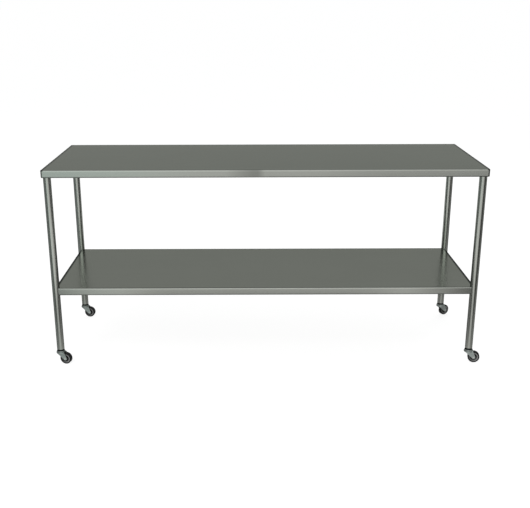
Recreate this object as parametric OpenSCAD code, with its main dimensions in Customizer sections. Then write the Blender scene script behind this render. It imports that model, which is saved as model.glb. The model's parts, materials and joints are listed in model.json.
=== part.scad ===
// Two-tier stainless steel instrument table on four swivel casters, in millimetres.
// The origin is on the floor under the middle of the table. +X runs along its length to the
// right, +Y to the back and +Z up. The casters stand turned as they came to rest.

/* [Table] */
// Length of the table top, left to right
top_length = 1828.8; // [1200:0.1:2400]
// Depth of the table top, front to back
top_depth = 609.6; // [450:0.1:900]
// Height of the working surface above the floor
top_height = 863.6; // [750:0.1:1000]
// Height of the shelf's upper face above the floor
shelf_height = 350; // [250:0.5:500]

/* [Folded pans] */
// Thickness of the steel sheet of the top and the shelf
sheet = 1.5; // [1:0.1:2]
// Height of the top's turned-down edge
top_edge = 31.75; // [31:0.25:50]
// Height of the shelf's turned-down edge
shelf_edge = 31.75; // [31:0.25:50]
// Distance of the shelf's edges inside the top's edges, on all four sides
shelf_inset = 16.3; // [15:0.1:19]
// Width of the flange that returns under each turned-down edge
return_flange = 12.7; // [8:0.1:20]
// Outer radius of the folds
bend_radius = 3; // [2.4:0.1:4]
// Outer radius of the vertical corners
corner_radius = 8; // [6:0.5:12]

/* [Stiffening channels] */
// Width of a channel's flat bottom
channel_width = 40; // [25:1:60]
// Depth of a channel below the sheet
channel_depth = 24; // [12:0.5:26]
// Width of each lip that is welded to the sheet
channel_lip = 15; // [8:0.5:20]
// Thickness of a channel's sheet
channel_sheet = 1.2; // [0.9:0.1:1.6]
// Distance of the top's channels from its middle line
channel_offset = 110; // [60:1:130]
// Gap between a channel's end and the fold of the pan
channel_end_gap = 2; // [1:0.5:20]

/* [Legs] */
// Outer diameter of a leg tube
leg_d = 31.75; // [25:0.05:40]
// Wall of a leg tube
leg_wall = 1.65; // [1.2:0.05:2.5]
// Gap between a leg and the turned-down edge at the end of the top
leg_end_gap = 2.6; // [0.4:0.1:4]
// Gap between a leg and the turned-down edge at the front or the back of the top
leg_side_gap = 9.1; // [0.4:0.1:10]
// Gap between a leg and the flange cut round it
flange_gap = 0.5; // [0.2:0.1:0.5]
// Gap between a leg and a sheet that is welded to it
weld_gap = 0.15; // [0.1:0.05:0.4]
// Size of a weld bead across the joint
weld_size = 3; // [2:0.25:4]
// Angle round the leg between a shelf weld's end and the shelf's edge, in degrees
shelf_weld_end = 19; // [18:0.5:30]
// Angle between a gusset weld's end and the gusset's edge, in degrees
gusset_weld_end = 10; // [8:0.5:30]

/* [Corner gussets] */
// Reach of a gusset from the corner, along both edges together
gusset_reach = 110; // [80:1:140]
// Thickness of a gusset
gusset_thickness = 2.5; // [1.5:0.1:4]
// Gap between a gusset and the fold of the top
gusset_gap = 0.2; // [0.1:0.1:1]

/* [Stem sockets] */
// Height of the tube's closed end above the floor, where the caster begins
caster_height = 66; // [64:0.5:75]
// Thickness of the socket's flange under the tube
socket_flange = 1.6; // [1:0.1:3]
// Step of the socket's flange inside the tube's outer face
socket_step = 0.2; // [0.1:0.1:1]
// Length of the socket inside the tube
socket_length = 34; // [30:1:50]
// Press gap between a plug and what holds it
seat_gap = 0.05; // [0.02:0.01:0.08]

/* [Caster stem] */
// Diameter of the stem
stem_d = 11.1; // [10:0.1:12]
// Length of the stem above its collar
stem_length = 38; // [36:1:50]
// Gap between the stem and its socket
stem_gap = 0.1; // [0.05:0.01:0.3]
// Chamfer at the stem's upper end
stem_chamfer = 1.5; // [0.5:0.25:2.5]
// Diameter of the collar under the socket
collar_d = 22; // [18:0.5:26]
// Height of the collar
collar_height = 3; // [2:0.25:4]
// Diameter of the kingpin that the fork turns on
kingpin_d = 8; // [7:0.1:9]
// Diameter of the kingpin's riveted head
kingpin_head_d = 12; // [11:0.5:14]
// Height of the kingpin's riveted head
kingpin_head_height = 2; // [1.5:0.1:2.5]
// Gap between the kingpin's head and the crown above it
kingpin_head_gap = 0.3; // [0.1:0.05:0.6]
// Height of the grip ring's middle above the collar
grip_ring_height = 24; // [18:0.5:28]
// Outer diameter of the grip ring
grip_ring_d = 12.6; // [12.4:0.1:13.4]
// Width of the grip ring along the stem
grip_ring_width = 3; // [2:0.25:4]
// Depth of the groove for the grip ring
grip_groove = 1.1; // [0.8:0.1:1.5]
// Opening of the grip ring, in degrees
grip_ring_opening = 40; // [20:5:90]
// Gap beside the grip ring in its grooves
grip_clearance = 0.2; // [0.1:0.05:0.4]

/* [Swivel bearing] */
// Diameter of the bearing cup
cup_d = 35; // [34:0.5:36]
// Rounding of the cup's upper edge
cup_round = 5; // [2:0.5:5.5]
// Wall of the cup's skirt
cup_wall = 2.2; // [1.5:0.1:2.4]
// Gap under the cup's skirt
cup_gap = 0.4; // [0.3:0.1:0.8]
// Diameter of a bearing ball
ball_d = 4; // [3.4:0.1:4.2]
// Diameter of the circle of balls
ball_circle_d = 24; // [23:0.5:25]
// Number of balls
ball_count = 12; // [8:1:16]
// Depth of the ball groove in the fork's crown
groove_depth = 1; // [0.6:0.1:1.2]
// Running gap round the balls
ball_gap = 0.06; // [0.03:0.01:0.1]
// Running gap round the kingpin
kingpin_gap = 0.06; // [0.03:0.01:0.1]

/* [Fork] */
// Distance of the axle behind the swivel axis
trail = 23.5; // [20:0.5:30]
// Thickness of the fork's steel
fork_sheet = 2.2; // [1.8:0.1:2.4]
// Diameter of the fork's round crown
crown_d = 39; // [36:0.5:42]
// Height of the crown's turned-down rim
rim_height = 6.5; // [4:0.5:8]
// Half angle of the gap in the rim over the wheel, in degrees
rim_opening = 40; // [36:1:60]
// Gap between the wheel and the crown above it
crown_gap = 2; // [1.5:0.1:4]
// Gap between a fork leg and the wheel's hub
hub_gap = 0.3; // [0.2:0.05:0.8]
// Outer radius of the folds between the crown and the legs
fork_bend = 3; // [2.8:0.1:4]
// Distance of the legs' rear edge behind the swivel axis
leg_rear = 14.5; // [12:0.5:15]
// Height of the legs' upright rear edge
leg_rear_height = 5.5; // [4:0.5:8]
// Distance of the legs' front edge before the swivel axis
leg_front = 19.5; // [17:0.5:24]
// Radius of the round end of a fork leg
leg_end_r = 7.5; // [6.5:0.1:9]
// Diameter of the pressed dimple on each leg
dimple_d = 6.4; // [4:0.1:8]
// Depth of the pressed dimple
dimple_depth = 0.6; // [0.3:0.1:1]
// Place of the dimple along the leg, from the swivel axis
dimple_along = 14; // [10:0.5:16]
// Height of the dimple above the axle
dimple_rise = 16.5; // [14:0.5:19]

/* [Wheel] */
// Diameter of the wheel
wheel_d = 50.8; // [48:0.1:51]
// Width of the tyre
tyre_width = 18; // [14:0.5:18.5]
// Thickness of the tyre
tyre_thickness = 4; // [3:0.1:6]
// Rounding of the tyre's shoulders
shoulder_r = 2.5; // [1:0.1:3]
// Width of the wheel's rim
rim_width = 16.4; // [12:0.2:17]
// Radial thickness of the wheel's rim
rim_thickness = 6.4; // [4:0.2:8]
// Diameter of the hub
hub_d = 13; // [12:0.2:16]
// Width of the hub
hub_width = 19.4; // [19:0.1:22]
// Thickness of the web between the hub and the rim
web_thickness = 4; // [3:0.2:8]
// Rounding of the edges of the wheel's rim
rim_edge_r = 1; // [0.5:0.1:2]
// Rounding of the edges of the hub
hub_edge_r = 0.5; // [0.2:0.1:0.9]
// Outer diameter of the plain bearing in the hub
bearing_d = 9; // [8:0.1:10]
// Step of the bearing's ends inside the ends of the hub
bearing_step = 0.1; // [0.05:0.05:1]

/* [Axle] */
// Diameter of the riveted axle
axle_d = 6.2; // [5:0.1:6.6]
// Running gap round the axle in the wheel's bearing
axle_gap = 0.08; // [0.03:0.01:0.1]
// Diameter of the axle's heads
axle_head_d = 9.4; // [8:0.1:12]
// Thickness of the axle's heads
axle_head_height = 1.5; // [1:0.1:2.5]
// Diameter of the hollow in each head
axle_hollow_d = 3.6; // [2.4:0.1:4]
// Depth of the hollow in each head
axle_hollow_depth = 2; // [1:0.1:4]

/* [Caster directions] */
// Turn of the front left caster from +X, in degrees
turn_front_left = -14; // [-180:1:180]
// Turn of the front right caster from +X, in degrees
turn_front_right = -10; // [-180:1:180]
// Turn of the back left caster from +X, in degrees
turn_back_left = -10; // [-180:1:180]
// Turn of the back right caster from +X, in degrees
turn_back_right = 29; // [-180:1:180]

/* [Hidden] */
$fn = 48;
cut = 1;

leg_r = leg_d / 2;
leg_inset_x = sheet + leg_r + leg_end_gap;
leg_inset_y = sheet + leg_r + leg_side_gap;
leg_x = top_length / 2 - leg_inset_x;
leg_y = top_depth / 2 - leg_inset_y;
leg_bottom = caster_height + socket_flange;
leg_top = top_height - bend_radius;
top_bottom = top_height - top_edge;
shelf_bottom = shelf_height - shelf_edge;
shelf_length = top_length - 2 * shelf_inset;
shelf_depth = top_depth - 2 * shelf_inset;
shelf_weld_from = shelf_weld_end - asin((leg_inset_y - shelf_inset) / leg_r);
shelf_weld_to = 90 + asin((leg_inset_x - shelf_inset) / leg_r) - shelf_weld_end;
gusset_bottom = top_bottom + sheet;

wheel_r = wheel_d / 2;
hub_half = hub_width / 2;
leg_inner = hub_half + hub_gap;
leg_outer = leg_inner + fork_sheet;
crown_bottom = wheel_d + crown_gap;
crown_top = crown_bottom + fork_sheet;
crown_r = crown_d / 2;
ball_r = ball_d / 2;
ball_circle_r = ball_circle_d / 2;
ball_height = crown_top + ball_r - groove_depth;
cup_r = cup_d / 2;
cup_bottom = crown_top + cup_gap;
cup_top = caster_height - collar_height;
cup_ceiling = ball_height + ball_r - groove_depth;
kingpin_r = kingpin_d / 2;
stem_r = stem_d / 2;
stem_top = caster_height + stem_length;
grip_ring_mid = caster_height + grip_ring_height;
grip_groove_half = grip_ring_width / 2 + grip_clearance;
grip_bore = stem_r - grip_groove + seat_gap;
socket_r = leg_r - leg_wall - seat_gap;
rim_outer = wheel_r - tyre_thickness - seat_gap;
bearing_r = bearing_d / 2;
bearing_half = hub_half - bearing_step;
axle_r = axle_d / 2;
axle_seat = axle_r + seat_gap;

steel = [0.66, 0.68, 0.65];
bright_steel = [0.74, 0.76, 0.74];
zinc = [0.56, 0.60, 0.58];
wheel_grey = [0.30, 0.31, 0.31];
rubber_black = [0.09, 0.10, 0.10];
nylon = [0.85, 0.84, 0.78];

// name, side along X, side along Y, turn of the caster
CORNERS = [
    ["front_left", -1, -1, turn_front_left],
    ["front_right", 1, -1, turn_front_right],
    ["back_left", -1, 1, turn_back_left],
    ["back_right", 1, 1, turn_back_right]
];
CORNER_PIECES = [
    "leg", "top_gusset", "stem_socket", "grip_ring", "caster_stem", "bearing_cup",
    "bearing_balls", "caster_fork", "wheel_axle", "wheel_bearing", "wheel_core", "wheel_tyre"
];

// Places what follows on a leg's axis, at floor level
module at_leg(corner) {
    translate([corner[1] * leg_x, corner[2] * leg_y, 0]) children();
}

// Places what follows on a leg's axis, mirrored so that +X and +Y point into the table
module facing_inwards(corner) {
    at_leg(corner)
        mirror([corner[1] > 0 ? 1 : 0, 0, 0])
            mirror([0, corner[2] > 0 ? 1 : 0, 0])
                children();
}

// Places what follows on a caster's swivel axis, with +X along its trail
module at_caster(corner) {
    at_leg(corner) rotate([0, 0, corner[3]]) children();
}

// Places what follows on a wheel's axle, with the axle along the extrusion axis
module at_wheel(corner) {
    at_caster(corner) translate([trail, 0, wheel_r]) rotate([90, 0, 0]) children();
}

// A rectangle that stands on the x axis, centred on the y axis, with round corners
module rounded_section(width, height, r) {
    union() {
        translate([r - width / 2, 0]) square([width - 2 * r, height]);
        translate([-width / 2, r]) square([width, height - 2 * r]);
        for (x = [r - width / 2, width / 2 - r])
            for (y = [r, height - r])
                translate([x, y]) circle(r);
    }
}

// Half of such a rectangle, to be turned about the y axis
module half_section(radius, height, r) {
    intersection() {
        rounded_section(2 * radius, height, r);
        square([radius, height]);
    }
}

// A block with round vertical corners whose upper and lower edges are round as well
module folded_block(length, depth, height, corner, r) {
    straight_x = length - 2 * corner;
    straight_y = depth - 2 * corner;
    union() {
        translate([-straight_x / 2, 0, 0])
            rotate([90, 0, 90])
                linear_extrude(straight_x)
                    rounded_section(depth, height, r);
        translate([0, straight_y / 2, 0])
            rotate([90, 0, 0])
                linear_extrude(straight_y)
                    rounded_section(length, height, r);
        for (x = [-1, 1])
            for (y = [-1, 1])
                translate([x * straight_x / 2, y * straight_y / 2, 0])
                    rotate_extrude()
                        half_section(corner, height, r);
    }
}

// A sheet folded down on four sides, with a flange that returns inwards under each fold
module pan(length, depth, edge) {
    difference() {
        folded_block(length, depth, edge, corner_radius, bend_radius);
        translate([0, 0, sheet])
            folded_block(
                length - 2 * sheet, depth - 2 * sheet, edge - 2 * sheet,
                corner_radius - sheet, bend_radius - sheet
            );
        translate([return_flange - length / 2, return_flange - depth / 2, -cut])
            cube([length - 2 * return_flange, depth - 2 * return_flange, sheet + 2 * cut]);
    }
}

// Section of a channel that hangs under a sheet whose lower face is at zero
module channel_section() {
    bend = 2 * channel_sheet;
    inner_width = channel_width - 2 * channel_sheet;
    difference() {
        union() {
            translate([0, -channel_depth]) rounded_section(channel_width, channel_depth, bend);
            translate([-channel_width / 2, -bend]) square([channel_width, bend]);
            translate([-channel_width / 2 - channel_lip, -channel_sheet])
                square([channel_width + 2 * channel_lip, channel_sheet]);
        }
        translate([0, channel_sheet - channel_depth])
            rounded_section(inner_width, channel_depth, channel_sheet);
    }
}

// A channel along X, centred, for a pan of the given length
module channel(pan_length) {
    length = pan_length - 2 * (bend_radius + channel_end_gap);
    translate([-length / 2, 0, 0])
        rotate([90, 0, 90])
            linear_extrude(length)
                channel_section();
}

module table_top() color(steel) {
    difference() {
        translate([0, 0, top_bottom]) pan(top_length, top_depth, top_edge);
        for (corner = CORNERS)
            at_leg(corner)
                translate([0, 0, top_bottom - cut])
                    cylinder(h = bend_radius + cut, r = leg_r + flange_gap);
    }
}

module top_channel(side) color(steel) {
    translate([0, side * channel_offset, top_height - sheet]) channel(top_length);
}

// A plate on the return flanges that holds the upper end of a leg
module top_gusset(corner) color(steel) {
    edge = bend_radius + gusset_gap;
    near = leg_inset_x + leg_inset_y - edge;
    far = gusset_reach - edge;
    facing_inwards(corner)
        translate([0, 0, gusset_bottom])
            linear_extrude(gusset_thickness)
                difference() {
                    translate([-leg_inset_x, -leg_inset_y])
                        polygon([[edge, near], [near, edge], [far, edge], [edge, far]]);
                    circle(leg_r + weld_gap);
                }
}

// A fillet weld round part of a leg, from one angle to another, on one side of a plate
module weld_bead(from, to, height) {
    rotate([0, 0, from])
        rotate_extrude(angle = to - from)
            polygon([[leg_r, 0], [leg_r + weld_size, 0], [leg_r, height]]);
}

module gusset_welds() color(bright_steel) {
    for (corner = CORNERS)
        facing_inwards(corner)
            translate([0, 0, gusset_bottom + gusset_thickness])
                weld_bead(gusset_weld_end - 45, 135 - gusset_weld_end, weld_size);
}

module shelf() color(steel) {
    difference() {
        translate([0, 0, shelf_bottom]) pan(shelf_length, shelf_depth, shelf_edge);
        for (corner = CORNERS)
            at_leg(corner)
                translate([0, 0, shelf_bottom - cut])
                    cylinder(h = shelf_edge + 2 * cut, r = leg_r + weld_gap);
    }
}

module shelf_channel() color(steel) {
    translate([0, 0, shelf_height - sheet]) channel(shelf_length);
}

module shelf_welds() color(bright_steel) {
    for (corner = CORNERS)
        facing_inwards(corner)
            translate([0, 0, shelf_height - sheet])
                weld_bead(shelf_weld_from, shelf_weld_to, -weld_size);
}

module leg(corner) color(steel) {
    at_leg(corner)
        translate([0, 0, leg_bottom])
            difference() {
                cylinder(h = leg_top - leg_bottom, r = leg_r);
                translate([0, 0, -cut])
                    cylinder(h = leg_top - leg_bottom + 2 * cut, r = leg_r - leg_wall);
            }
}

// A flanged plug in the end of the tube, bored for the stem, with a groove for its grip ring
module stem_socket(corner) color(bright_steel) {
    at_leg(corner)
        difference() {
            union() {
                translate([0, 0, caster_height]) cylinder(h = socket_flange, r = leg_r - socket_step);
                translate([0, 0, caster_height])
                    cylinder(h = socket_flange + socket_length, r = socket_r);
            }
            translate([0, 0, caster_height - cut])
                cylinder(h = socket_flange + socket_length + 2 * cut, r = stem_r + stem_gap);
            translate([0, 0, grip_ring_mid - grip_groove_half])
                cylinder(h = 2 * grip_groove_half, d = grip_ring_d + 2 * seat_gap);
        }
}

// The stem, its collar and the kingpin under it are one turned piece
module caster_stem(corner) color(zinc) {
    head_top = crown_bottom - kingpin_head_gap;
    head_bottom = head_top - kingpin_head_height;
    groove_r = stem_r - grip_groove;
    at_leg(corner)
        rotate_extrude()
            polygon([
                [0, head_bottom],
                [kingpin_head_d / 2, head_bottom],
                [kingpin_head_d / 2, head_top],
                [kingpin_r, head_top],
                [kingpin_r, cup_top],
                [collar_d / 2, cup_top],
                [collar_d / 2, caster_height],
                [stem_r, caster_height],
                [stem_r, grip_ring_mid - grip_groove_half],
                [groove_r, grip_ring_mid - grip_groove_half],
                [groove_r, grip_ring_mid + grip_groove_half],
                [stem_r, grip_ring_mid + grip_groove_half],
                [stem_r, stem_top - stem_chamfer],
                [stem_r - stem_chamfer, stem_top],
                [0, stem_top]
            ]);
}

// A split spring ring that holds the stem in its socket
module grip_ring(corner) color(bright_steel) {
    at_leg(corner)
        translate([0, 0, grip_ring_mid - grip_ring_width / 2])
            rotate([0, 0, grip_ring_opening / 2])
                rotate_extrude(angle = 360 - grip_ring_opening)
                    translate([grip_bore, 0])
                        square([grip_ring_d / 2 - grip_bore, grip_ring_width]);
}

// The fixed upper half of the swivel bearing
module bearing_cup(corner) color(zinc) {
    bore = kingpin_r + seat_gap;
    at_leg(corner)
        rotate_extrude()
            difference() {
                translate([0, cup_bottom - cup_round])
                    half_section(cup_r, cup_top - cup_bottom + cup_round, cup_round);
                translate([0, cup_bottom - cup_round - cut]) square([cup_r + cut, cup_round + cut]);
                translate([0, cup_bottom - cut])
                    square([cup_r - cup_wall, cup_ceiling - cup_bottom + cut]);
                square([bore, cup_top + cut]);
                translate([ball_circle_r, ball_height]) circle(ball_r + ball_gap);
            }
}

module bearing_balls(corner) color(bright_steel) {
    at_caster(corner)
        for (i = [0 : ball_count - 1])
            rotate([0, 0, 360 * i / ball_count])
                translate([ball_circle_r, 0, ball_height])
                    sphere(ball_r);
}

// The point where a line from p touches a circle, on the side that sign chooses
function tangent_point(p, centre, r, sign) =
    let (v = p - centre, a = atan2(v[1], v[0]) + sign * acos(r / norm(v)))
    centre + r * [cos(a), sin(a)];

// Outline of a fork leg, seen from the side
module fork_side() {
    axle = [trail, wheel_r];
    rear = [-leg_rear, crown_top - leg_rear_height];
    front = [leg_front, crown_bottom];
    union() {
        polygon([
            [-leg_rear, crown_top],
            rear,
            tangent_point(rear, axle, leg_end_r, 1),
            axle,
            tangent_point(front, axle, leg_end_r, -1),
            front,
            [leg_front, crown_top]
        ]);
        translate(axle) circle(leg_end_r);
    }
}

// Cross-section of the fork: two legs and the crown between them
module fork_channel() {
    height = crown_top;
    difference() {
        union() {
            translate([-leg_outer, 0]) square([2 * leg_outer, height - fork_bend]);
            rounded_section(2 * leg_outer, height, fork_bend);
        }
        translate([-leg_inner, -cut]) square([2 * leg_inner, crown_bottom - fork_bend + fork_sheet]);
        rounded_section(2 * leg_inner, crown_bottom, fork_bend - fork_sheet);
    }
}

// Two legs and the round crown, pressed from one sheet, whose rim is open over the wheel
module caster_fork(corner) color(zinc) {
    at_caster(corner)
        difference() {
            union() {
                intersection() {
                    translate([-leg_rear, 0, 0])
                        rotate([90, 0, 90])
                            linear_extrude(leg_rear + trail + leg_end_r + cut)
                                fork_channel();
                    translate([0, leg_outer + cut, 0])
                        rotate([90, 0, 0])
                            linear_extrude(2 * (leg_outer + cut))
                                fork_side();
                }
                translate([0, 0, crown_bottom]) cylinder(h = fork_sheet, r = crown_r - fork_sheet);
                rotate([0, 0, rim_opening])
                    rotate_extrude(angle = 360 - 2 * rim_opening)
                        translate([crown_r - fork_sheet, crown_top - rim_height])
                            half_section(fork_sheet, rim_height, fork_sheet / 2);
            }
            translate([0, 0, crown_bottom - cut])
                cylinder(h = fork_sheet + 2 * cut, r = kingpin_r + kingpin_gap);
            rotate_extrude()
                translate([ball_circle_r, ball_height])
                    circle(ball_r + ball_gap);
            translate([trail, leg_outer + cut, wheel_r])
                rotate([90, 0, 0])
                    cylinder(h = 2 * (leg_outer + cut), r = axle_seat);
            for (side = [-1, 1])
                translate([dimple_along, side * leg_outer, wheel_r + dimple_rise])
                    rotate([90, 0, 0])
                        cylinder(h = 2 * dimple_depth, d = dimple_d, center = true);
        }
}

// A rivet through both fork legs, with a hollow in each head
module wheel_axle(corner) color(bright_steel) {
    head_half = leg_outer + axle_head_height;
    at_wheel(corner)
        difference() {
            union() {
                cylinder(h = 2 * head_half, r = axle_r, center = true);
                for (side = [0, 1])
                    mirror([0, 0, side])
                        translate([0, 0, leg_outer])
                            cylinder(h = axle_head_height, d = axle_head_d);
            }
            for (side = [0, 1])
                mirror([0, 0, side])
                    translate([0, 0, head_half - axle_hollow_depth])
                        cylinder(h = axle_hollow_depth + cut, d = axle_hollow_d);
        }
}

module wheel_bearing(corner) color(nylon) {
    at_wheel(corner)
        difference() {
            cylinder(h = 2 * bearing_half, r = bearing_r, center = true);
            cylinder(h = 2 * hub_width, r = axle_r + axle_gap, center = true);
        }
}

// Hub, web and rim in one moulding
module wheel_core(corner) color(wheel_grey) {
    bore = bearing_r + seat_gap;
    hub_mid = (hub_d / 2 + bore) / 2;
    rim_mid = rim_outer - rim_thickness / 2;
    at_wheel(corner)
        rotate_extrude() {
            translate([hub_mid, -hub_half])
                rounded_section(hub_d / 2 - bore, hub_width, hub_edge_r);
            translate([hub_mid, -web_thickness / 2]) square([rim_mid - hub_mid, web_thickness]);
            translate([rim_mid, -rim_width / 2])
                rounded_section(rim_thickness, rim_width, rim_edge_r);
        }
}

module wheel_tyre(corner) color(rubber_black) {
    bore = wheel_r - tyre_thickness;
    at_wheel(corner)
        rotate_extrude() {
            translate([bore, -tyre_width / 2])
                square([tyre_thickness - shoulder_r, tyre_width]);
            translate([bore, shoulder_r - tyre_width / 2])
                square([tyre_thickness, tyre_width - 2 * shoulder_r]);
            for (side = [-1, 1])
                translate([wheel_r - shoulder_r, side * (tyre_width / 2 - shoulder_r)])
                    intersection() {
                        circle(shoulder_r);
                        translate([0, -shoulder_r]) square([shoulder_r, 2 * shoulder_r]);
                    }
        }
}

table_top();
top_channel(-1);  // top_channel_front
top_channel(1);  // top_channel_rear
gusset_welds();
shelf();
shelf_channel();
shelf_welds();
for (corner = CORNERS) {
    leg(corner);
    top_gusset(corner);
    stem_socket(corner);
    grip_ring(corner);
    caster_stem(corner);
    bearing_cup(corner);
    bearing_balls(corner);
    caster_fork(corner);
    wheel_axle(corner);
    wheel_bearing(corner);
    wheel_core(corner);
    wheel_tyre(corner);
}
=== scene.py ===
# %% [markdown]
# A stainless steel instrument table, from its CAD frame to a finished picture. The CAD model has
# already settled every size: the folded top and shelf, the tubes and the swivel casters. This
# lesson gives each piece its finish, adds the weld beads and other small marks of the workshop,
# and photographs the table in a bright studio.

import json
import math

import bpy
from mathutils import Matrix, Vector


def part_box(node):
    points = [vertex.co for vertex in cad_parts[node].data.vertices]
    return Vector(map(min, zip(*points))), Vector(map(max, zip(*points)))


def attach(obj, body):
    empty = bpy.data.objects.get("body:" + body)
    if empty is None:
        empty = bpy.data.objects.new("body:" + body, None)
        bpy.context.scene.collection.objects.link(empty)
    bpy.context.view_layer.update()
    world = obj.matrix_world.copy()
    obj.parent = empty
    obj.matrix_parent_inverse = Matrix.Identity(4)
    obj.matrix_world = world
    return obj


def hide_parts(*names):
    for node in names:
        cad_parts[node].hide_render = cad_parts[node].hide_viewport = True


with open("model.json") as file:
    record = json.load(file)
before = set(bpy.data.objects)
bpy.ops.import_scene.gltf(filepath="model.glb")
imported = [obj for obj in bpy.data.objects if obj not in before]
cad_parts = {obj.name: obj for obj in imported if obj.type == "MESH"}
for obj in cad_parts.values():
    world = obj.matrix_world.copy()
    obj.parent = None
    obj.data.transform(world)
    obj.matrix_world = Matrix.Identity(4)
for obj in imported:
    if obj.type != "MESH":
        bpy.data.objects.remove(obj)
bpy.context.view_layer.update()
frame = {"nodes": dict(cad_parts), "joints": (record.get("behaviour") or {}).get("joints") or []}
nodes = frame["nodes"]
CORNERS = ("front_left", "front_right", "back_left", "back_right")

# %% [markdown]
# The sizes that this lesson needs come from the frame itself, so that they can't disagree with it.
# A tube's box gives its radius and its axis, and the top's box gives the outline. Only the wall of
# the tubes can't be read from a box. Everything is in metres, measured from the floor under the
# middle of the top.

# %% Sizes from the frame
top_low, top_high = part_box("table_top")
shelf_low, shelf_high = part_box("shelf")
leg_low, leg_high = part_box("leg_front_right")
tyre_low, tyre_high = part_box("wheel_tyre_front_left")
leg_radius = (leg_high.x - leg_low.x) / 2
leg_x = (leg_high.x + leg_low.x) / 2
leg_y = -(leg_high.y + leg_low.y) / 2
leg_wall = 0.00165
wheel_radius = (tyre_high.z - tyre_low.z) / 2
print("tube radius", round(leg_radius, 5), "at", round(leg_x, 5), round(leg_y, 5))

# %% [markdown]
# A material is a small graph of nodes. Wiring one by hand takes many lines, so two helpers do it.
# The first is Value. It stands for one output socket and understands plain arithmetic: writing
# 1 - mask adds a Math node. The sum itself is done later, at each point of the surface.


# %% A value that does sums
class Value:
    """An output socket that can be added, multiplied and so on in plain Python."""

    def __init__(self, graph, socket):
        self.graph = graph
        self.socket = socket

    def maths(self, operation, *others):
        return self.graph.maths(operation, self, *others)

    def __add__(self, other):
        return self.maths("ADD", other)

    def __radd__(self, other):
        return self.graph.maths("ADD", other, self)

    def __sub__(self, other):
        return self.maths("SUBTRACT", other)

    def __rsub__(self, other):
        return self.graph.maths("SUBTRACT", other, self)

    def __mul__(self, other):
        return self.maths("MULTIPLY", other)

    def __rmul__(self, other):
        return self.graph.maths("MULTIPLY", other, self)

    def __truediv__(self, other):
        return self.maths("DIVIDE", other)

    def __rtruediv__(self, other):
        return self.graph.maths("DIVIDE", other, self)

    def __gt__(self, other):
        return self.maths("GREATER_THAN", other)

    def __lt__(self, other):
        return self.maths("LESS_THAN", other)

    def size(self):
        return self.maths("ABSOLUTE")

    def highest(self, *others):
        """The greatest of this value and the others."""
        greatest = self
        for other in others:
            greatest = greatest.maths("MAXIMUM", other)
        return greatest

    def between(self, low, high):
        """0 at low and below, 1 at high and above, and even in between."""
        settings = {"clamp": True}
        return self.graph.add("ShaderNodeMapRange", settings, {"Value": self, 1: low, 2: high})

    def swing(self, weight):
        """How far a noise is from its middle, 0.5, times a weight."""
        return (self - 0.5) * weight


print("values ready")

# %% [markdown]
# The second helper is Graph. It adds any node in one call: its kind, its settings and what goes
# into it. The short methods below it are for the nodes that come again and again. The same pair
# builds the Geometry Nodes trees further on, because both are node trees.


# %% A graph of nodes
class Graph:
    """A node tree under construction."""

    def __init__(self, tree):
        self.tree = tree
        self.tree.nodes.clear()

    def add(self, kind, settings=None, inputs=None, output=0):
        """Adds a node of a kind, sets it up, feeds its inputs and returns one of its outputs."""
        node = self.tree.nodes.new(kind)
        for name, setting in (settings or {}).items():
            if name == "stops":
                self.set_stops(node.color_ramp, setting)
            else:
                setattr(node, name, setting)
        for key, given in (inputs or {}).items():
            self.feed(node.inputs[key], given)
        return Value(self, node.outputs[output]) if node.outputs else node

    def outputs(self, kind, settings=None, inputs=None):
        """Adds a node and returns all of its outputs by name."""
        node = self.add(kind, settings, inputs).socket.node
        return {socket.name: Value(self, socket) for socket in node.outputs}

    def set_stops(self, ramp, stops):
        """Gives a ramp its stops, each a position and a grey level."""
        while len(ramp.elements) < len(stops):
            ramp.elements.new(1.0)
        for element, (position, grey) in zip(ramp.elements, stops):
            element.position = position
            element.color = (grey, grey, grey, 1)

    def feed(self, socket, given):
        """Links a Value or a list of them to a socket, or writes a plain value into it."""
        if isinstance(given, list):
            for each in given:
                self.feed(socket, each)
        elif isinstance(given, Value):
            self.tree.links.new(given.socket, socket)
        else:
            socket.default_value = given

    def maths(self, operation, *numbers):
        return self.add("ShaderNodeMath", {"operation": operation}, dict(enumerate(numbers)))

    def vector(self, operation, *vectors, output=0):
        """The same for vectors."""
        inputs = dict(enumerate(vectors))
        return self.add("ShaderNodeVectorMath", {"operation": operation}, inputs, output)

    def stretch(self, vector, factors):
        """Multiplies a vector by three numbers, one for each axis."""
        return self.vector("MULTIPLY", vector, factors)

    def parts(self, vector):
        """The three numbers of a vector."""
        return self.outputs("ShaderNodeSeparateXYZ", {}, {0: vector}).values()

    def noise(self, vector, scale, detail=3.0):
        """Smooth random values near 0.5 that vary over a vector."""
        inputs = {"Vector": vector, "Scale": scale, "Detail": detail}
        return self.add("ShaderNodeTexNoise", {}, inputs)

    def blend(self, mask, first, second):
        """The first colour where the mask is 0 and the second where it is 1."""
        return self.add("ShaderNodeMix", {"data_type": "RGBA"}, {0: mask, 6: first, 7: second}, 2)

    def choose(self, mask, first, second):
        """The same for two vectors."""
        return self.add("ShaderNodeMix", {"data_type": "VECTOR"}, {0: mask, 4: first, 5: second}, 1)


print("graphs ready")

# %% [markdown]
# Every finish ends in one Principled shader. The function below makes it, with the parts that stay
# the same all over the surface written straight into its sockets. Only colour, roughness and a
# bump may vary from place to place.


# %% A finish from its parts
def finish(name, build, **constants):
    """Makes a material. build(graph, place) returns the links for the shader's sockets."""
    material = bpy.data.materials.new(name)
    material.use_nodes = True
    graph = Graph(material.node_tree)
    place = graph.add("ShaderNodeTexCoord", {}, {}, "Object")
    shader = graph.add("ShaderNodeBsdfPrincipled")
    sockets = shader.socket.node.inputs
    for key, given in {**constants, **build(graph, place)}.items():
        graph.feed(sockets[key.replace("_", " ")], given)
    graph.add("ShaderNodeOutputMaterial", {}, {"Surface": shader})
    print("finish", name, "has", len(material.node_tree.nodes), "nodes")
    return material


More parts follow.
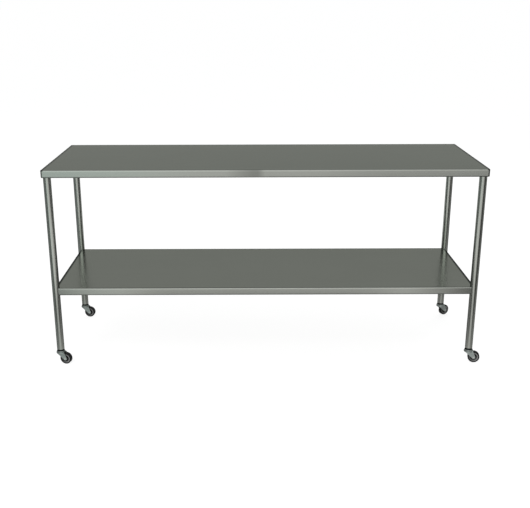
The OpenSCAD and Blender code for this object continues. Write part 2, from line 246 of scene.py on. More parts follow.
def tone(colour, factor):
    """A colour with its alpha, made lighter or darker by a factor."""
    return (*(min(part * factor, 1.0) for part in colour[:3]), 1.0)


def shaded(graph, level, colour, darkest, lightest):
    """A colour that turns darker where a level is below 0, and lighter where it is above."""
    mask = (level + 0.5).between(0, 1)
    return graph.blend(mask, tone(colour, darkest), tone(colour, lightest))


def bumped(graph, height, depth):
    """A normal that follows a height, of a depth in metres."""
    return graph.add("ShaderNodeBump", {}, {"Height": height, "Distance": depth, "Strength": 1.0})


print("finish ready")

# %% [markdown]
# Painted shade and a painted highlight lie along the folds of a pan. A line of painted shade lies
# on the flat face beside each long fold, and at the ends, where the sheet is folded across its
# grain, the whole fold is painted dark as shade. The lower edge of the strip is painted dark as
# well. Only the strip's upper edge gets a painted highlight. Such marks could be drawn in an image,
# but a mask that is worked out from the distance to the pan's outer faces needs no picture and fits
# every pan. A pair of distances says where a mark begins and where it is full. One more mask finds
# a place near the middle of the top's front strip, which is made darker.

# %% Painted shade and highlights on the folded sheet
FACE_DEPTH = 0.0006
# Painted shade: a line beside each long fold, the whole end folds and the strip's lower edge.
FOLD_SHADE_LINE = (0.009, 0.003)
FOLD_SHADE_STRENGTH = 0.6
END_LINE = (0.014, 0.009)
END_DEPTH = (0.006, 0.003)
LOWER_LINE = (0.006, 0.002)
LOWER_STRENGTH = 0.75
# A painted highlight along the strip's upper edge.
HIGHLIGHT_LINE = (0.008, 0.005)
HIGHLIGHT_STRENGTH = 0.4
# A darker patch near the middle of the top's front strip.
DARK_PATCH_LEFT = (-0.16, -0.05)
DARK_PATCH_RIGHT = (-0.03, 0.0)
DARK_PATCH_DEPTH = 0.003
DARK_PATCH_STRENGTH = 0.6


def near(value, face, line):
    """0 further from a face than a line begins, and 1 closer to it than the line is full."""
    begins, full = line
    return value.between(face - begins, face - full)


def fold_masks(graph, place, low, high):
    """Where painted shade and a painted highlight lie on a pan between the corners low and high."""
    half = (high - low) / 2
    x, y, z = graph.parts(graph.vector("SUBTRACT", place, (low + high) / 2))
    # Painted shade covers the whole end folds, a line beside each long fold and the lower edge.
    end_fold = near(z, half.z, END_DEPTH) * near(x.size(), half.x, END_LINE)
    face = z > half.z - FACE_DEPTH
    # The line of painted shade on the flat face beside each long fold.
    clamp = face * near(y.size(), half.y, FOLD_SHADE_LINE)
    lower = near(z * -1, half.z, LOWER_LINE)
    # A painted highlight along the strip's upper edge, kept off the end folds.
    painted_highlight = (1 - face) * near(z, half.z, HIGHLIGHT_LINE) * (1 - end_fold)
    painted_shade = end_fold.highest(clamp * FOLD_SHADE_STRENGTH, lower * LOWER_STRENGTH)
    return painted_shade, painted_highlight * HIGHLIGHT_STRENGTH


def strip_dark_patch(graph, place, front):
    """Where the strip that faces the front is made darker near its middle."""
    x, y, _ = graph.parts(place)
    span = x.between(*DARK_PATCH_LEFT) * (1 - x.between(*DARK_PATCH_RIGHT))
    return span * (1 - y.between(front + FACE_DEPTH, front + DARK_PATCH_DEPTH)) * DARK_PATCH_STRENGTH


print("marks ready")

# %% [markdown]
# Brushed sheet gets its look from thousands of fine parallel scratches, drawn by a belt along the
# sheet before it is cut and folded. Stretched noise gives such lines: it hardly changes along the
# grain and changes fast across it. As a bump it tilts the surface only across the grain, so a
# mirrored leg stays a clear upright line on the shelf but is smeared along its length. The grain
# turns down with the metal at the ends of a pan, so the end faces use upright lines. Two slower
# noises add the long streaks and faint clouds that show from a distance. The glance colour sets
# how much the metal mirrors at a low angle.

# %% Brushed steel sheet
STEEL = (0.345, 0.355, 0.325)
SHEET_GLANCE = (0.62, 0.64, 0.63, 1.0)
GRAIN_FINE = 1400.0
GRAIN_COARSE = 170.0
GRAIN_ALONG = (0.004, 1, 1)
GRAIN_DOWN = (0, 1, 0.02)
GRAIN_DEPTH = 0.00004
STREAK_STRENGTH = 0.28
# Factors for the painted shade on the folds and the painted highlight on the upper edge.
FOLD_SHADE_TONE = 0.05
HIGHLIGHT_TONE = 1.7
DARK_PATCH_TONE = 0.45


def sheet_finish(name, low, high, colour, roughness, dark_patch=False):
    """Brushed sheet with its grain along X, and along Z on the end faces of the pan."""
    end_x = high.x - END_DEPTH[0]

    def build(graph, place):
        x, _, _ = graph.parts(place)
        along = graph.stretch(place, GRAIN_ALONG)
        down = graph.stretch(place, GRAIN_DOWN)
        lines = graph.choose(x.size() > end_x, along, down)
        fine = graph.noise(lines, GRAIN_FINE, detail=4.0)
        coarse = graph.noise(lines, GRAIN_COARSE, detail=2.0)
        cloud = graph.noise(place, scale=3.1)
        patch = graph.noise(graph.stretch(place, (1, 2.5, 2.5)), scale=9.0, detail=4.0)
        level = fine.swing(0.5) + coarse.swing(1.0) + cloud.swing(0.7) + patch.swing(0.35)
        brushed = shaded(graph, level * STREAK_STRENGTH, colour, darkest=0.8, lightest=1.2)
        painted_shade, painted_highlight = fold_masks(graph, place, low, high)
        # Painted shade darkens the folds and the strip's lower edge.
        marked = graph.blend(painted_shade, brushed, tone(colour, FOLD_SHADE_TONE))
        # A painted highlight lightens the strip's upper edge.
        shade = graph.blend(painted_highlight, marked, tone(colour, HIGHLIGHT_TONE))
        # The top's front strip is made darker near its middle.
        if dark_patch:
            strip_patch = strip_dark_patch(graph, place, low.y)
            shade = graph.blend(strip_patch, shade, tone(colour, DARK_PATCH_TONE))
        rough = roughness + fine.swing(0.16) + patch.swing(0.08)
        normal = bumped(graph, fine + coarse * 0.6, GRAIN_DEPTH)
        return {"Base_Color": shade, "Roughness": rough, "Normal": normal}

    return finish(name, build, Metallic=1.0, Specular_Tint=SHEET_GLANCE)


top_steel = sheet_finish("brushed_top", top_low, top_high, STEEL, roughness=0.20, dark_patch=True)
shelf_steel = sheet_finish("brushed_shelf", shelf_low, shelf_high, STEEL, roughness=0.20)
channel_steel = sheet_finish("mill_channel", top_low, top_high, tone(STEEL, 0.92), roughness=0.42)

# %% [markdown]
# A furniture tube is polished on a belt that runs round it while it moves along, which leaves a
# faint spiral and a smoother, brighter surface than the sheet's. The lines must follow each tube,
# so the place is first measured from the nearest tube's axis: taking the absolute value folds the
# four corners of the table onto one.

# %% Polished tube
TUBE_COLOUR = tone(STEEL, 1.2)
TUBE_GLANCE = (0.25, 0.26, 0.26, 1.0)
TUBE_ROUGHNESS = 0.22
POLISH_DEPTH = 0.00001


def tube_build(graph, place):
    """Faint lines along a tube and rings round it, whichever corner it stands at."""
    centred = graph.vector("SUBTRACT", graph.vector("ABSOLUTE", place), (leg_x, leg_y, 0))
    lines = graph.noise(graph.stretch(centred, (1, 1, 0.02)), scale=900.0)
    rings = graph.noise(graph.stretch(centred, (0.15, 0.15, 1)), scale=420.0)
    cloud = graph.noise(place, scale=7.0)
    level = lines.swing(0.35) + rings.swing(0.25) + cloud.swing(0.5)
    shade = shaded(graph, level, TUBE_COLOUR, darkest=0.84, lightest=1.16)
    rough = TUBE_ROUGHNESS + rings.swing(0.12) + cloud.swing(0.08)
    normal = bumped(graph, lines + rings, POLISH_DEPTH)
    return {"Base_Color": shade, "Roughness": rough, "Normal": normal}


tube_steel = finish("polished_tube", tube_build, Metallic=1.0, Specular_Tint=TUBE_GLANCE)

# %% [markdown]
# The casters' small parts are pressed from strip and zinc plated. Plating is duller and a little
# greener than bare steel, with a soft mottle where the bath touched it. Turned parts, such as the
# rivets, are brighter. The socket and the stem's collar between the tube and the caster are painted
# black as shade, and painted black shade covers the top of the bearing cup under them. They are the
# dark line under each tube. All of these differ only in colour, gloss and the size of the mottle,
# so one function makes them.

# %% Zinc plate, turned steel and painted black shade
ZINC = (0.38, 0.42, 0.40)
TURNED = (0.56, 0.58, 0.56)
POLISHED = (0.62, 0.63, 0.64)
# Painted black shade for the socket, the stem's collar and the top of the bearing cup.
SHADE_BLACK = (0.045, 0.048, 0.047, 1.0)
CUP_SHADE_HEIGHTS = (0.0588, 0.0606)
PLATE_GLANCE = (0.7, 0.72, 0.71, 1.0)
PLATE_DEPTH = 0.00003


def plated_finish(name, colour, roughness, grain=260.0, shade_above=None):
    """Plated steel with a soft mottle, and painted black shade above a height if one is given."""

    def build(graph, place):
        mottle = graph.noise(place, grain, detail=4.0)
        cloud = graph.noise(place, scale=45.0, detail=2.0)
        level = mottle.swing(0.5) + cloud.swing(0.6)
        shade = shaded(graph, level, colour, darkest=0.78, lightest=1.2)
        # Painted black shade covers the part above a height.
        if shade_above:
            _, _, height = graph.parts(place)
            shade = graph.blend(height.between(*shade_above), shade, SHADE_BLACK)
        rough = roughness + mottle.swing(0.25)
        normal = bumped(graph, mottle, PLATE_DEPTH)
        return {"Base_Color": shade, "Roughness": rough, "Normal": normal}

    return finish(name, build, Metallic=1.0, Specular_Tint=PLATE_GLANCE)


zinc_plate = plated_finish("zinc_plate", ZINC, roughness=0.38)
turned_steel = plated_finish("turned_steel", TURNED, roughness=0.30, grain=700.0)
ball_steel = plated_finish("polished_balls", POLISHED, roughness=0.12, grain=60.0)
oiled_steel = plated_finish("oiled_steel", SHADE_BLACK, roughness=0.50, grain=300.0)
oiled_cup = plated_finish("oiled_cup", ZINC, roughness=0.38, shade_above=CUP_SHADE_HEIGHTS)

# %% [markdown]
# Rubber and moulded plastic have no metal in them: their colour is their own, and their gloss is
# weak and broad. The grey rim of a wheel is scuffed, while the recess round the hub is painted
# nearly black as shade, and a tyre's tread is greyer than its flanks. All of that depends on the
# distance from the axle, so the finish of each wheel knows where its own axle lies. The frame's
# joints say so. Painted shade also darkens the rim on the side away from the light, on the left
# wheels more than on the right ones. In the bands below, each pair is a share of the wheel's radius
# and the grey at that place.

# %% Tyres and wheel centres
# The recess round the hub is painted nearly black as shade.
HUB_BANDS = ((0.0, 0.025), (0.27, 0.025), (0.30, 0.005), (0.55, 0.005))
CORE_BANDS = (*HUB_BANDS, (0.59, 0.21), (0.76, 0.19), (0.80, 0.006))
TYRE_BANDS = ((0.80, 0.005), (0.90, 0.005), (0.97, 0.008), (1.0, 0.018))
# Painted shade on the side of the rim away from the light, stronger on the left wheels.
WHEEL_SHADE = (0.006, 0.007, 0.007, 1.0)
WHEEL_SHADE_EDGE = (-0.45, 0.35)
WHEEL_SHADE_STRENGTHS = {"front_left": 0.85, "front_right": 0.55, "back_left": 0.85, "back_right": 0.4}
SCUFF = (0.07, 0.07, 0.066, 1.0)
SCUFF_STRENGTH = 0.1
MOULDED_GLOSS = 0.16
axles = {
    joint["child"].replace("wheel_", ""): (Vector(joint["pos_m"]), Vector(joint["axis"]))
    for joint in frame["joints"]
    if joint["name"].startswith("roll_")
}


def wheel_finish(name, corner, bands, roughness, depth):
    """Bands of grey by the distance from an axle, with painted shade on one side, scuffs and a fine
    grain.
    """
    centre, direction = axles[corner]
    lit_side = direction.cross(Vector((0, 0, 1))) / wheel_radius

    def build(graph, place):
        reach = graph.vector("SUBTRACT", place, centre)
        square = graph.vector("CROSS_PRODUCT", reach, direction)
        far = graph.vector("LENGTH", square, output="Value") / wheel_radius
        band = graph.add("ShaderNodeValToRGB", {"stops": bands}, {0: far})
        skin = graph.noise(place, scale=900.0, detail=4.0)
        spots = graph.noise(graph.stretch(place, (1, 1, 0.4)), scale=160.0, detail=4.0)
        scuff = spots.between(0.5, 0.75)
        # Painted shade darkens the side of the wheel away from the light.
        side = graph.vector("DOT_PRODUCT", reach, lit_side, output="Value")
        dark_side = 1 - (side + skin.swing(0.3)).between(*WHEEL_SHADE_EDGE)
        half_shaded = graph.blend(dark_side * WHEEL_SHADE_STRENGTHS[corner], band, WHEEL_SHADE)
        worn = graph.blend(scuff * SCUFF_STRENGTH, half_shaded, SCUFF)
        rough = roughness + skin.swing(0.2) + scuff * 0.15
        return {"Base_Color": worn, "Roughness": rough, "Normal": bumped(graph, skin, depth)}

    return finish(name, build, Metallic=0.0, Specular_IOR_Level=MOULDED_GLOSS)


wheel_finishes = {}
for corner in axles:
    core = wheel_finish("wheel_" + corner, corner, CORE_BANDS, roughness=0.50, depth=0.00003)
    tyre = wheel_finish("tyre_" + corner, corner, TYRE_BANDS, roughness=0.60, depth=0.00005)
    wheel_finishes["wheel_core_" + corner] = core
    wheel_finishes["wheel_tyre_" + corner] = tyre

# %% [markdown]
# The plain bearing inside each hub is nylon, with a fine satin grain from its mould. A weld that
# has been brushed clean keeps a slight straw and blue tint from the heat, and it is a little
# rougher than the sheet beside it. One slow noise turns the metal to straw and, where the noise is
# strongest, to blue.

# %% Nylon and weld metal
NYLON = (0.62, 0.60, 0.52)
NYLON_DEPTH = 0.00001
CLEAN_WELD = (0.42, 0.43, 0.42, 1)
STRAW_WELD = (0.46, 0.38, 0.27, 1)
BLUE_WELD = (0.24, 0.28, 0.38, 1)
WELD_DEPTH = 0.00002


def nylon_build(graph, place):
    """Plastic with a fine grain."""
    skin = graph.noise(place, scale=1500.0, detail=4.0)
    shade = shaded(graph, skin.swing(1.0), NYLON, darkest=0.8, lightest=1.25)
    normal = bumped(graph, skin, NYLON_DEPTH)
    return {"Base_Color": shade, "Roughness": 0.40 + skin.swing(0.2), "Normal": normal}


def weld_build(graph, place):
    """Clean metal that turns to straw and then to blue."""
    tint = graph.noise(place, scale=160.0)
    grit = graph.noise(place, scale=2200.0)
    straw = graph.blend(tint.between(0.4, 0.65), CLEAN_WELD, STRAW_WELD)
    shade = graph.blend(tint.between(0.62, 0.8), straw, BLUE_WELD)
    normal = bumped(graph, grit, WELD_DEPTH)
    return {"Base_Color": shade, "Roughness": 0.42 + grit.swing(0.3), "Normal": normal}


bearing_nylon = finish("bearing_nylon", nylon_build, Metallic=0.0)
weld_metal = finish("weld_metal", weld_build, Metallic=1.0)

# %% [markdown]
# Each CAD piece already has the right shape, so it only needs its finish put into its material
# slot. The table below pairs the first words of a node's name with a finish.

# %% Put the finishes on the CAD pieces
FINISHES = {
    "table_top": top_steel,
    "shelf": shelf_steel,
    "top_channel": channel_steel,
    "shelf_channel": channel_steel,
    "top_gusset": channel_steel,
    "gusset_welds": weld_metal,
    "shelf_welds": weld_metal,
    "leg": tube_steel,
    # The socket, the stem and the bearing cup carry painted black shade.
    "stem_socket": oiled_steel,
    "grip_ring": turned_steel,
    "caster_stem": oiled_steel,
    "bearing_cup": oiled_cup,
    "bearing_balls": ball_steel,
    "caster_fork": zinc_plate,
    "wheel_axle": turned_steel,
    "wheel_bearing": bearing_nylon,
    **wheel_finishes,
}


def piece_kind(name):
    """The longest entry of FINISHES that a node's name starts with."""
    return max((kind for kind in FINISHES if name.startswith(kind)), key=len)


for name, piece in nodes.items():
    piece.data.materials.clear()
    piece.data.materials.append(FINISHES[piece_kind(name)])
print("finishes on", len(nodes), "pieces")

# %% [markdown]
# What repeats is grown by Geometry Nodes. A tree takes named sizes, places its shapes and ends in
# Realize Instances and Set Material, so that the result is plain geometry with a finish. The next
# helpers open such a tree, close it, and turn an object that carries it into a plain mesh.

# %% Open a tree, close it and run it
SOCKET_KINDS = {
    "length": "NodeSocketFloat",
    "angle": "NodeSocketFloat",
    "count": "NodeSocketInt",
    "material": "NodeSocketMaterial",
}
CRISP_ANGLE = math.radians(40)


def new_tree(name, **inputs):
    """A tree with named inputs. Returns its graph and a Value for each input."""
    tree = bpy.data.node_groups.new(name, "GeometryNodeTree")
    tree.interface.new_socket("Geometry", in_out="OUTPUT", socket_type="NodeSocketGeometry")
    for label, kind in inputs.items():
        tree.interface.new_socket(label, in_out="INPUT", socket_type=SOCKET_KINDS[kind])
    graph = Graph(tree)
    return graph, graph.outputs("NodeGroupInput")


def close_tree(graph, geometry, material):
    """Realizes the instances, smooths all but sharp edges, sets the material and ends the tree."""
    plain = graph.add("GeometryNodeRealizeInstances", {}, {0: geometry})
    smooth = graph.add("GeometryNodeSetShadeSmooth", {}, {0: plain})
    sharp = graph.add("GeometryNodeInputMeshEdgeAngle") > CRISP_ANGLE
    crisp = graph.add(
        "GeometryNodeSetShadeSmooth",
        {"domain": "EDGE"},
        {"Geometry": smooth, "Selection": sharp, "Shade Smooth": False},
    )
    done = graph.add("GeometryNodeSetMaterial", {}, {"Geometry": crisp, "Material": material})
    graph.add("NodeGroupOutput", {}, {0: done})
    return graph.tree


def grow(name, tree, body, **sizes):
    """Runs a tree with its sizes and keeps the result as a plain mesh that rides on a body."""
    piece = bpy.data.objects.new(name, bpy.data.meshes.new(name))
    bpy.context.scene.collection.objects.link(piece)
    modifier = piece.modifiers.new("shape", "NODES")
    modifier.node_group = tree
    for item in tree.interface.items_tree:
        if item.in_out == "INPUT":
            modifier[item.identifier] = sizes[item.name]
    bpy.context.view_layer.update()
    evaluated = piece.evaluated_get(bpy.context.evaluated_depsgraph_get())
    mesh = bpy.data.meshes.new_from_object(evaluated)
    piece.modifiers.remove(modifier)
    piece.data = mesh
    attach(piece, body)
    print(name, "has", len(mesh.polygons), "faces")
    return piece


print("trees can be opened, closed and run")

# %% [markdown]
# The tubes and the welds are the same at all four corners, and every tree lifts what it made to
# its place. Three more helpers do that: one joins three numbers to a vector, one shifts geometry,
# and one copies a shape to the legs' axes.


# %% Shift a shape and copy it to the corners
def combine(graph, x=0.0, y=0.0, z=0.0):
    """A vector from three numbers or Values."""
    return graph.add("ShaderNodeCombineXYZ", {}, {0: x, 1: y, 2: z})


def shifted(graph, geometry, y=0.0, z=0.0):
    """Geometry moved along Y and Z."""
    inputs = {"Geometry": geometry, "Translation": combine(graph, y=y, z=z)}
    return graph.add("GeometryNodeTransform", {}, inputs)


def at_corners(graph, size, shape, height, turn=0.0):
    """A shape at each leg's axis, turned about Z and lifted to a height."""
    extent = {"Size X": size["leg_x"] * 2, "Size Y": size["leg_y"] * 2}
    points = graph.add("GeometryNodeMeshGrid", {}, {**extent, "Vertices X": 2, "Vertices Y": 2})
    inputs = {"Points": points, "Instance": shape, "Rotation": combine(graph, z=turn)}
    return shifted(graph, graph.add("GeometryNodeInstanceOnPoints", {}, inputs), z=height)


print("shapes can be placed")

# %% [markdown]
# The four legs are one length of tube, cut four times. A tube could be a cylinder with a hole, but
# a section swept round a circle follows the real making more closely and keeps every size a named
# input: a tall thin rectangle, as thick as the wall and as high as the leg, goes once round the
# leg's axis. Ninety-six steps make it rounder than the CAD model's tube, whose facets would show
# in the long highlight. The tree copies it to the four corners.

# %% Leg tubes
TUBE_STEPS = 96


def tube_tree():
    graph, size = new_tree(
        "leg_tubes",
        leg_x="length",
        leg_y="length",
        low="length",
        high="length",
        radius="length",
        wall="length",
        steps="count",
        material="material",
    )
    circle = {"Resolution": size["steps"], "Radius": size["radius"] - size["wall"] * 0.5}
    ring = graph.add("GeometryNodeCurvePrimitiveCircle", {}, circle)
    rectangle = {"Width": size["wall"], "Height": size["high"] - size["low"]}
    section = graph.add("GeometryNodeCurvePrimitiveQuadrilateral", {}, rectangle)
    tube = graph.add("GeometryNodeCurveToMesh", {}, {"Curve": ring, "Profile Curve": section})
    legs = at_corners(graph, size, tube, (size["high"] + size["low"]) * 0.5)
    return close_tree(graph, legs, size["material"])


leg_tubes = grow(
    "leg_tubes",
    tube_tree(),
    "table",
    leg_x=leg_x,
    leg_y=leg_y,
    low=leg_low.z,
    high=leg_high.z,
    radius=leg_radius,
    wall=leg_wall,
    steps=TUBE_STEPS,
    material=tube_steel,
)
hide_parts(*("leg_" + corner for corner in CORNERS))

# %% [markdown]
# A fillet weld is laid as a row of small overlapping pools, which leaves a rippled bead. A tube
# swept along the joint would look like a line of sealant. So the tree walks along an arc round a
# leg, puts a flattened ball at each step over a plain round core, and copies the bead to the four
# corners, turned to face the middle of the table. The shelf reaches further past a leg on one side
# than on the other, so its arc leans a little: the product of the two signs of a corner tells
# which way. The beads stand for the plain fillets of the CAD model.

# %% The tree of the weld beads
ARC_STEPS = 48
RIPPLE_SEGMENTS = 14
RIPPLE_RINGS = 8
RIPPLE_FLATNESS = 0.42
CORE_SHARE = 0.9


def rippled_bead(graph, size):
    """One bead round the origin: flattened balls along an arc, over a round core."""
    angles = {"Start Angle": size["half"] * -1, "Sweep Angle": size["half"] * 2}
    path = {"Resolution": ARC_STEPS, "Radius": size["radius"], **angles}
    arc = graph.add("GeometryNodeCurveArc", {"mode": "RADIUS"}, path)
    spacing = {"Curve": arc, "Length": size["pitch"]}
    steps = graph.outputs("GeometryNodeCurveToPoints", {"mode": "LENGTH"}, spacing)
    sphere = {"Segments": RIPPLE_SEGMENTS, "Rings": RIPPLE_RINGS, "Radius": size["bead"]}
    ball = graph.add("GeometryNodeMeshUVSphere", {}, sphere)
    squeeze = {"Geometry": ball, "Scale": (1.0, 1.0, RIPPLE_FLATNESS)}
    flat = graph.add("GeometryNodeTransform", {}, squeeze)
    row = {"Points": steps["Points"], "Instance": flat, "Rotation": steps["Rotation"]}
    ripples = graph.add("GeometryNodeInstanceOnPoints", {}, row)
    circle = {"Resolution": RIPPLE_SEGMENTS, "Radius": size["bead"] * CORE_SHARE}
    section = graph.add("GeometryNodeCurvePrimitiveCircle", {}, circle)
    sweep = {"Curve": arc, "Profile Curve": section, "Fill Caps": True}
    core = graph.add("GeometryNodeCurveToMesh", {}, sweep)
    return graph.add("GeometryNodeJoinGeometry", {}, {0: [ripples, core]})


def weld_tree():
    graph, size = new_tree(
        "weld_beads",
        leg_x="length",
        leg_y="length",
        height="length",
        radius="length",
        bead="length",
        pitch="length",
        half="angle",
        lean="angle",
        material="material",
    )
    x, y, _ = graph.parts(graph.add("GeometryNodeInputPosition"))
    inwards_x, inwards_y = (side.maths("SIGN") * -1 for side in (x, y))
    turn = inwards_y.maths("ARCTAN2", inwards_x) - inwards_x * inwards_y * size["lean"]
    beads = at_corners(graph, size, rippled_bead(graph, size), size["height"], turn)
    return close_tree(graph, beads, size["material"])


weld_beads = weld_tree()
print("the bead tree has", len(weld_beads.nodes), "nodes")

# %% [markdown]
# The same tree grows the beads on the shelf and those under the top. Only the height and the two
# angles where a bead starts and ends are different.

# %% Rippled weld beads
BEAD_RADIUS = 0.0016
BEAD_PITCH = 0.0011
BEAD_GAP = 0.0007
BEAD_SINK = 0.0006
WELDS = {
    "shelf_welds": (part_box("shelf_welds")[1].z - BEAD_SINK, -20.9, 84.4),
    "gusset_welds": (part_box("gusset_welds")[0].z + BEAD_SINK, -35.0, 125.0),
}
for node_name, (height, start, end) in WELDS.items():
    beads = grow(
        node_name.replace("welds", "weld_beads"),
        weld_beads,
        "table",
        leg_x=leg_x,
        leg_y=leg_y,
        height=height,
        radius=leg_radius + BEAD_GAP,
        bead=BEAD_RADIUS,
        pitch=BEAD_PITCH,
        half=math.radians((end - start) / 2),
        lean=math.radians(45 - (start + end) / 2),
        material=weld_metal,
    )
    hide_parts(node_name)

# %% [markdown]
# The channels under the top and the shelf are held by spot welds. Each leaves a shallow round mark
# on the channel's lip, in two even rows. A grid of points and one low dome make them all.

# %% Spot weld marks
CHANNEL_SHEET = 0.0012
LIP_SPACING = 0.055
SPOT_RADIUS = 0.003
SPOT_FLATNESS = 0.08
SPOT_SEGMENTS = 16
SPOT_COUNT = 31
SPOT_MARGIN = 0.025


def spot_tree():
    graph, size = new_tree(
        "spot_welds",
        length="length",
        width="length",
        count="count",
        middle="length",
        height="length",
        radius="length",
        material="material",
    )
    extent = {"Size X": size["length"], "Size Y": size["width"]}
    counts = {"Vertices X": size["count"], "Vertices Y": 2}
    rows = graph.add("GeometryNodeMeshGrid", {}, {**extent, **counts})
    sphere = {"Segments": SPOT_SEGMENTS, "Rings": SPOT_SEGMENTS // 2, "Radius": size["radius"]}
    ball = graph.add("GeometryNodeMeshUVSphere", {}, sphere)
    squeeze = {"Geometry": ball, "Scale": (1.0, 1.0, SPOT_FLATNESS)}
    dome = graph.add("GeometryNodeTransform", {}, squeeze)
    marks = graph.add("GeometryNodeInstanceOnPoints", {}, {"Points": rows, "Instance": dome})
    placed = shifted(graph, marks, size["middle"], size["height"])
    return close_tree(graph, placed, size["material"])


spot_welds = spot_tree()
for node_name in ("top_channel_front", "top_channel_rear", "shelf_channel"):
    low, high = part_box(node_name)
    marks = grow(
        node_name + "_spot_welds",
        spot_welds,
        "table",
        length=high.x - low.x - SPOT_MARGIN * 2,
        width=LIP_SPACING,
        count=SPOT_COUNT,
        middle=(low.y + high.y) / 2,
        height=high.z - CHANNEL_SHEET,
        radius=SPOT_RADIUS,
        material=weld_metal,
    )

# %% [markdown]
# An upright tube mirrors nothing but the floor round its foot, because the camera looks down on it.
# On an evenly white floor it would be a flat pale strip. So reflections see a floor that is lit in
# lanes: one pair runs under the legs from front to back, opens outwards and turns a little towards
# the middle, where the camera stands, a fainter pair runs along the table, and a broad pool lies
# beyond the front and the back. A weak light from a window lies far out on the left. What is
# between is dark. A tube then has a bright middle and dark flanks. The lanes are a little weaker
# close to the table. The pool is weaker on the right, and far out everywhere but on the left.

# %% Light on the floor
LANE_WIDTH = 0.2
LANE_SPREAD = 0.24
LANE_START = 0.72
LANE_TURN = 0.1
LANE_FULL = (0.3, 1.5)
SIDE_LANE = 0.35
POOL_START = (0.85, 1.35)
POOL_EDGE = (0.85, 1.15)
POOL_SPREAD = 0.6
POOL_WIDTH = 0.26
POOL_SHIFT = 0.15
SHADE_LEVEL = 0.15
RIGHT_SHADE = (0.5, 1.2)
FAR_SHADE = (1.6, 2.4)
FAR_SHADE_LEFT = (-1.0, -0.5)
WINDOW_EDGE = (-1.8, -1.1)
WINDOW_LEVEL = 0.15


def lane(across, along, row):
    """1 on the middle of a lane over a row of legs, falling to 0 at its edges."""
    half = along * LANE_SPREAD + LANE_WIDTH
    off = (across - row).size() / half
    return 1 - off.between(0, 1)


def floor_light(x, y):
    """How brightly reflections see a place on the floor. y is how far in front or behind it is."""
    level = y.between(*LANE_FULL) * (1 - LANE_START) + LANE_START
    front = lane(x.size() + y * LANE_TURN, y, leg_x) * level
    side = lane(y, x.size(), leg_y) * SIDE_LANE
    window = (1 - x.between(*WINDOW_EDGE)) * WINDOW_LEVEL
    edge = (x + POOL_SHIFT).size() / (y * POOL_SPREAD + POOL_WIDTH)
    pool = y.between(*POOL_START) * (1 - edge.between(*POOL_EDGE))
    far_shade = y.between(*FAR_SHADE) * x.between(*FAR_SHADE_LEFT)
    shade = far_shade + x.between(*RIGHT_SHADE)
    return front.highest(side, window, pool * (1 - shade * SHADE_LEVEL))


print("floor light ready")

# %% [markdown]
# The floor is plain and pale and reaches past the horizon of the picture, so it is the background
# as well. It shines a little by itself for rays that come from the camera or from a reflection,
# which keeps it white, and it still takes the soft shadow of the table. In reflections, daylight
# makes it a bit bluer on the left. Seen from below it is clear, so that the underside can be
# looked at.

# %% The floor
REACH = 1500.0
WHITE = (1, 1, 1, 1)
DAYLIGHT = (0.86, 1.0, 0.98, 1)
DAYLIGHT_EDGE = (-1.6, -0.6)
PAPER = (0.8, 0.8, 0.8, 1)
SHADOWED_PAPER = (0.2, 0.2, 0.2, 1)
LIT_GLOW = 0.88
DARK_GLOW = 0.07


def floor_material():
    """Paper that glows for the camera, and for reflections only where floor_light lights it."""
    material = bpy.data.materials.new("pale_floor")
    material.use_nodes = True
    graph = Graph(material.node_tree)
    path = graph.outputs("ShaderNodeLightPath")
    glossy = path["Is Glossy Ray"]
    seen = glossy.highest(path["Is Camera Ray"], path["Is Transmission Ray"])
    place = graph.add("ShaderNodeTexCoord", {}, {}, "Object")
    x, y, _ = graph.parts(place)
    daylight = (1 - x.between(*DAYLIGHT_EDGE)) * glossy
    tint = graph.blend(daylight, WHITE, DAYLIGHT)
    paper = graph.add("ShaderNodeBsdfDiffuse", {}, {"Color": PAPER})
    shadowed = graph.add("ShaderNodeBsdfDiffuse", {}, {"Color": SHADOWED_PAPER})
    glow = graph.add("ShaderNodeEmission", {}, {"Color": tint, "Strength": LIT_GLOW})
    white = graph.add("ShaderNodeAddShader", {}, {0: shadowed, 1: glow})
    dark = graph.add("ShaderNodeEmission", {}, {"Color": WHITE, "Strength": DARK_GLOW})
    unlit = glossy * (1 - floor_light(x, y.size()))
    lanes = graph.add("ShaderNodeMixShader", {}, {0: unlit, 1: white, 2: dark})
    surface = graph.add("ShaderNodeMixShader", {}, {0: seen, 1: paper, 2: lanes})
    below = graph.add("ShaderNodeNewGeometry", {}, {}, "Backfacing")
    clear = graph.add("ShaderNodeBsdfTransparent")
    both = graph.add("ShaderNodeMixShader", {}, {0: below, 1: surface, 2: clear})
    graph.add("ShaderNodeOutputMaterial", {}, {"Surface": both})
    return material


floor_mesh = bpy.data.meshes.new("floor")
outline = [(-REACH, -REACH, 0), (REACH, -REACH, 0), (REACH, REACH, 0), (-REACH, REACH, 0)]
floor_mesh.from_pydata(outline, [], [(0, 1, 2, 3)])
floor_mesh.materials.append(floor_material())
floor = bpy.data.objects.new("floor", floor_mesh)
bpy.context.scene.collection.objects.link(floor)
print("floor laid")

# %% [markdown]
# The studio round the table is a soft grey room: the top and the shelf mirror it at a low angle,
# which is why they look darker than the floor. It is brighter in front, where the camera stands.
# Such plain greys stand for the blurred mirror image of windows and walls in rough sheet. A leg
# and the shelf mirror each other too, and there the windows and the darker walls beside them show
# apart, so rays that have met steel twice see more contrast: their glossy depth is more than one.
# Rays straight from the camera see white, so that the picture has no horizon.

# %% The room
HORIZON = (0.445, 0.45, 0.422, 1)
FRONT = (1.2, 1.22, 1.21, 1)
WALLS = (0.2, 0.205, 0.2, 1)
WINDOWS = (2.9, 3.0, 3.0, 1)
ZENITH = (0.60, 0.61, 0.62, 1)
FRONT_EDGE = (0.55, 0.95)
ZENITH_EDGE = (0.15, 0.85)
ONE_MIRROR = 1.5


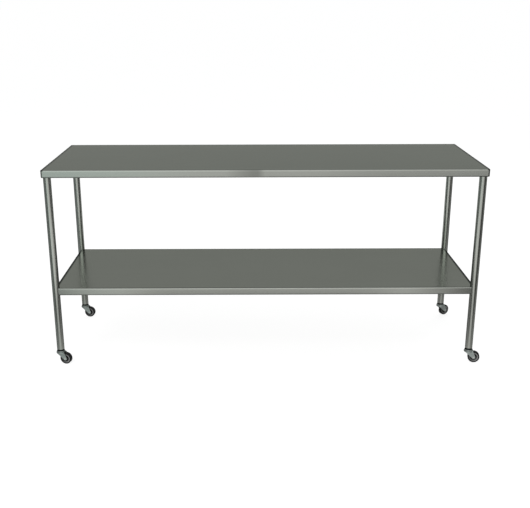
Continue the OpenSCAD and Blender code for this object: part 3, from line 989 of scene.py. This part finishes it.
def grey_room():
    """A world that is grey for the table and white for the camera."""
    world = bpy.data.worlds.new("grey_room")
    world.use_nodes = True
    graph = Graph(world.node_tree)
    path = graph.outputs("ShaderNodeLightPath")
    _, y, z = graph.parts(graph.add("ShaderNodeTexCoord", {}, {}, "Generated"))
    ahead = (y * -1).between(*FRONT_EDGE)
    once = graph.blend(ahead, HORIZON, FRONT)
    twice = graph.blend(ahead, WALLS, WINDOWS)
    around = graph.blend(path["Glossy Depth"] > ONE_MIRROR, once, twice)
    room = graph.blend(z.between(*ZENITH_EDGE), around, ZENITH)
    seen = path["Is Camera Ray"].highest(path["Is Transmission Ray"])
    shown = graph.blend(seen, room, WHITE)
    backdrop = graph.add("ShaderNodeBackground", {}, {"Color": shown, "Strength": 1.0})
    graph.add("ShaderNodeOutputWorld", {}, {"Surface": backdrop})
    return world


bpy.context.scene.world = grey_room()
print("room painted")

# %% [markdown]
# One broad lamp stands high in front and a weaker one behind. They light the table but don't show
# in it: a mirrored lamp would be a hard white patch on the steel.

# %% Lamps
LAMP_SIZE = (3.0, 2.0)
LAMP_TARGET = Vector((0, 0, 0.4))


def soft_lamp(name, place, power):
    """A broad lamp that looks at the table and isn't mirrored in it."""
    lamp = bpy.data.lights.new(name, "AREA")
    lamp.shape = "RECTANGLE"
    lamp.size, lamp.size_y = LAMP_SIZE
    lamp.energy = power
    holder = bpy.data.objects.new(name, lamp)
    bpy.context.scene.collection.objects.link(holder)
    holder.location = place
    heading = LAMP_TARGET - Vector(place)
    holder.rotation_euler = heading.to_track_quat("-Z", "Y").to_euler()
    holder.visible_glossy = False
    print(name, "has", power, "watts")


soft_lamp("front_lamp", (-1.2, -3.2, 3.4), power=100)
soft_lamp("rear_lamp", (1.5, 3.0, 3.2), power=60)

# %% [markdown]
# The camera was found by fitting a pinhole camera to corners and edges in the photograph. Its place
# and angles go straight into its matrix. The focal length in pixels becomes one in millimetres, and
# the small offset of the optical centre becomes the lens shift.

# %% The camera
PHOTO = (530, 508)
FOCAL_PIXELS = 813.879
OPTICAL_CENTRE = (252.078, 264.697)
CAMERA_PLACE = Vector((-0.05827, -3.55985, 1.52136))
YAW, PITCH, ROLL = (math.radians(angle) for angle in (0.0619, 18.068, 0.1524))
SENSOR_WIDTH = 36


def camera_matrix(place, yaw, pitch, roll):
    """The matrix of a camera that looks along +Y, turned by three angles."""
    level = math.cos(pitch)
    ahead = Vector((math.sin(yaw) * level, math.cos(yaw) * level, -math.sin(pitch)))
    right = Vector((math.cos(yaw), -math.sin(yaw), 0))
    down = ahead.cross(right)
    tilted_right = right * math.cos(roll) + down * math.sin(roll)
    tilted_down = down * math.cos(roll) - right * math.sin(roll)
    turn = Matrix((tilted_right, -tilted_down, -ahead)).transposed()
    return Matrix.Translation(place) @ turn.to_4x4()


camera_data = bpy.data.cameras.new("camera")
camera_data.sensor_width = SENSOR_WIDTH
camera_data.lens = FOCAL_PIXELS / PHOTO[0] * SENSOR_WIDTH
camera_data.shift_x = (PHOTO[0] / 2 - OPTICAL_CENTRE[0]) / PHOTO[0]
camera_data.shift_y = (OPTICAL_CENTRE[1] - PHOTO[1] / 2) / PHOTO[0]
camera_data.clip_end = REACH * 2
camera = bpy.data.objects.new("camera", camera_data)
bpy.context.scene.collection.objects.link(camera)
camera.matrix_world = camera_matrix(CAMERA_PLACE, YAW, PITCH, ROLL)
bpy.context.scene.camera = camera
bpy.context.scene.view_settings.view_transform = "Standard"
print("lens", round(camera_data.lens, 2), "mm")
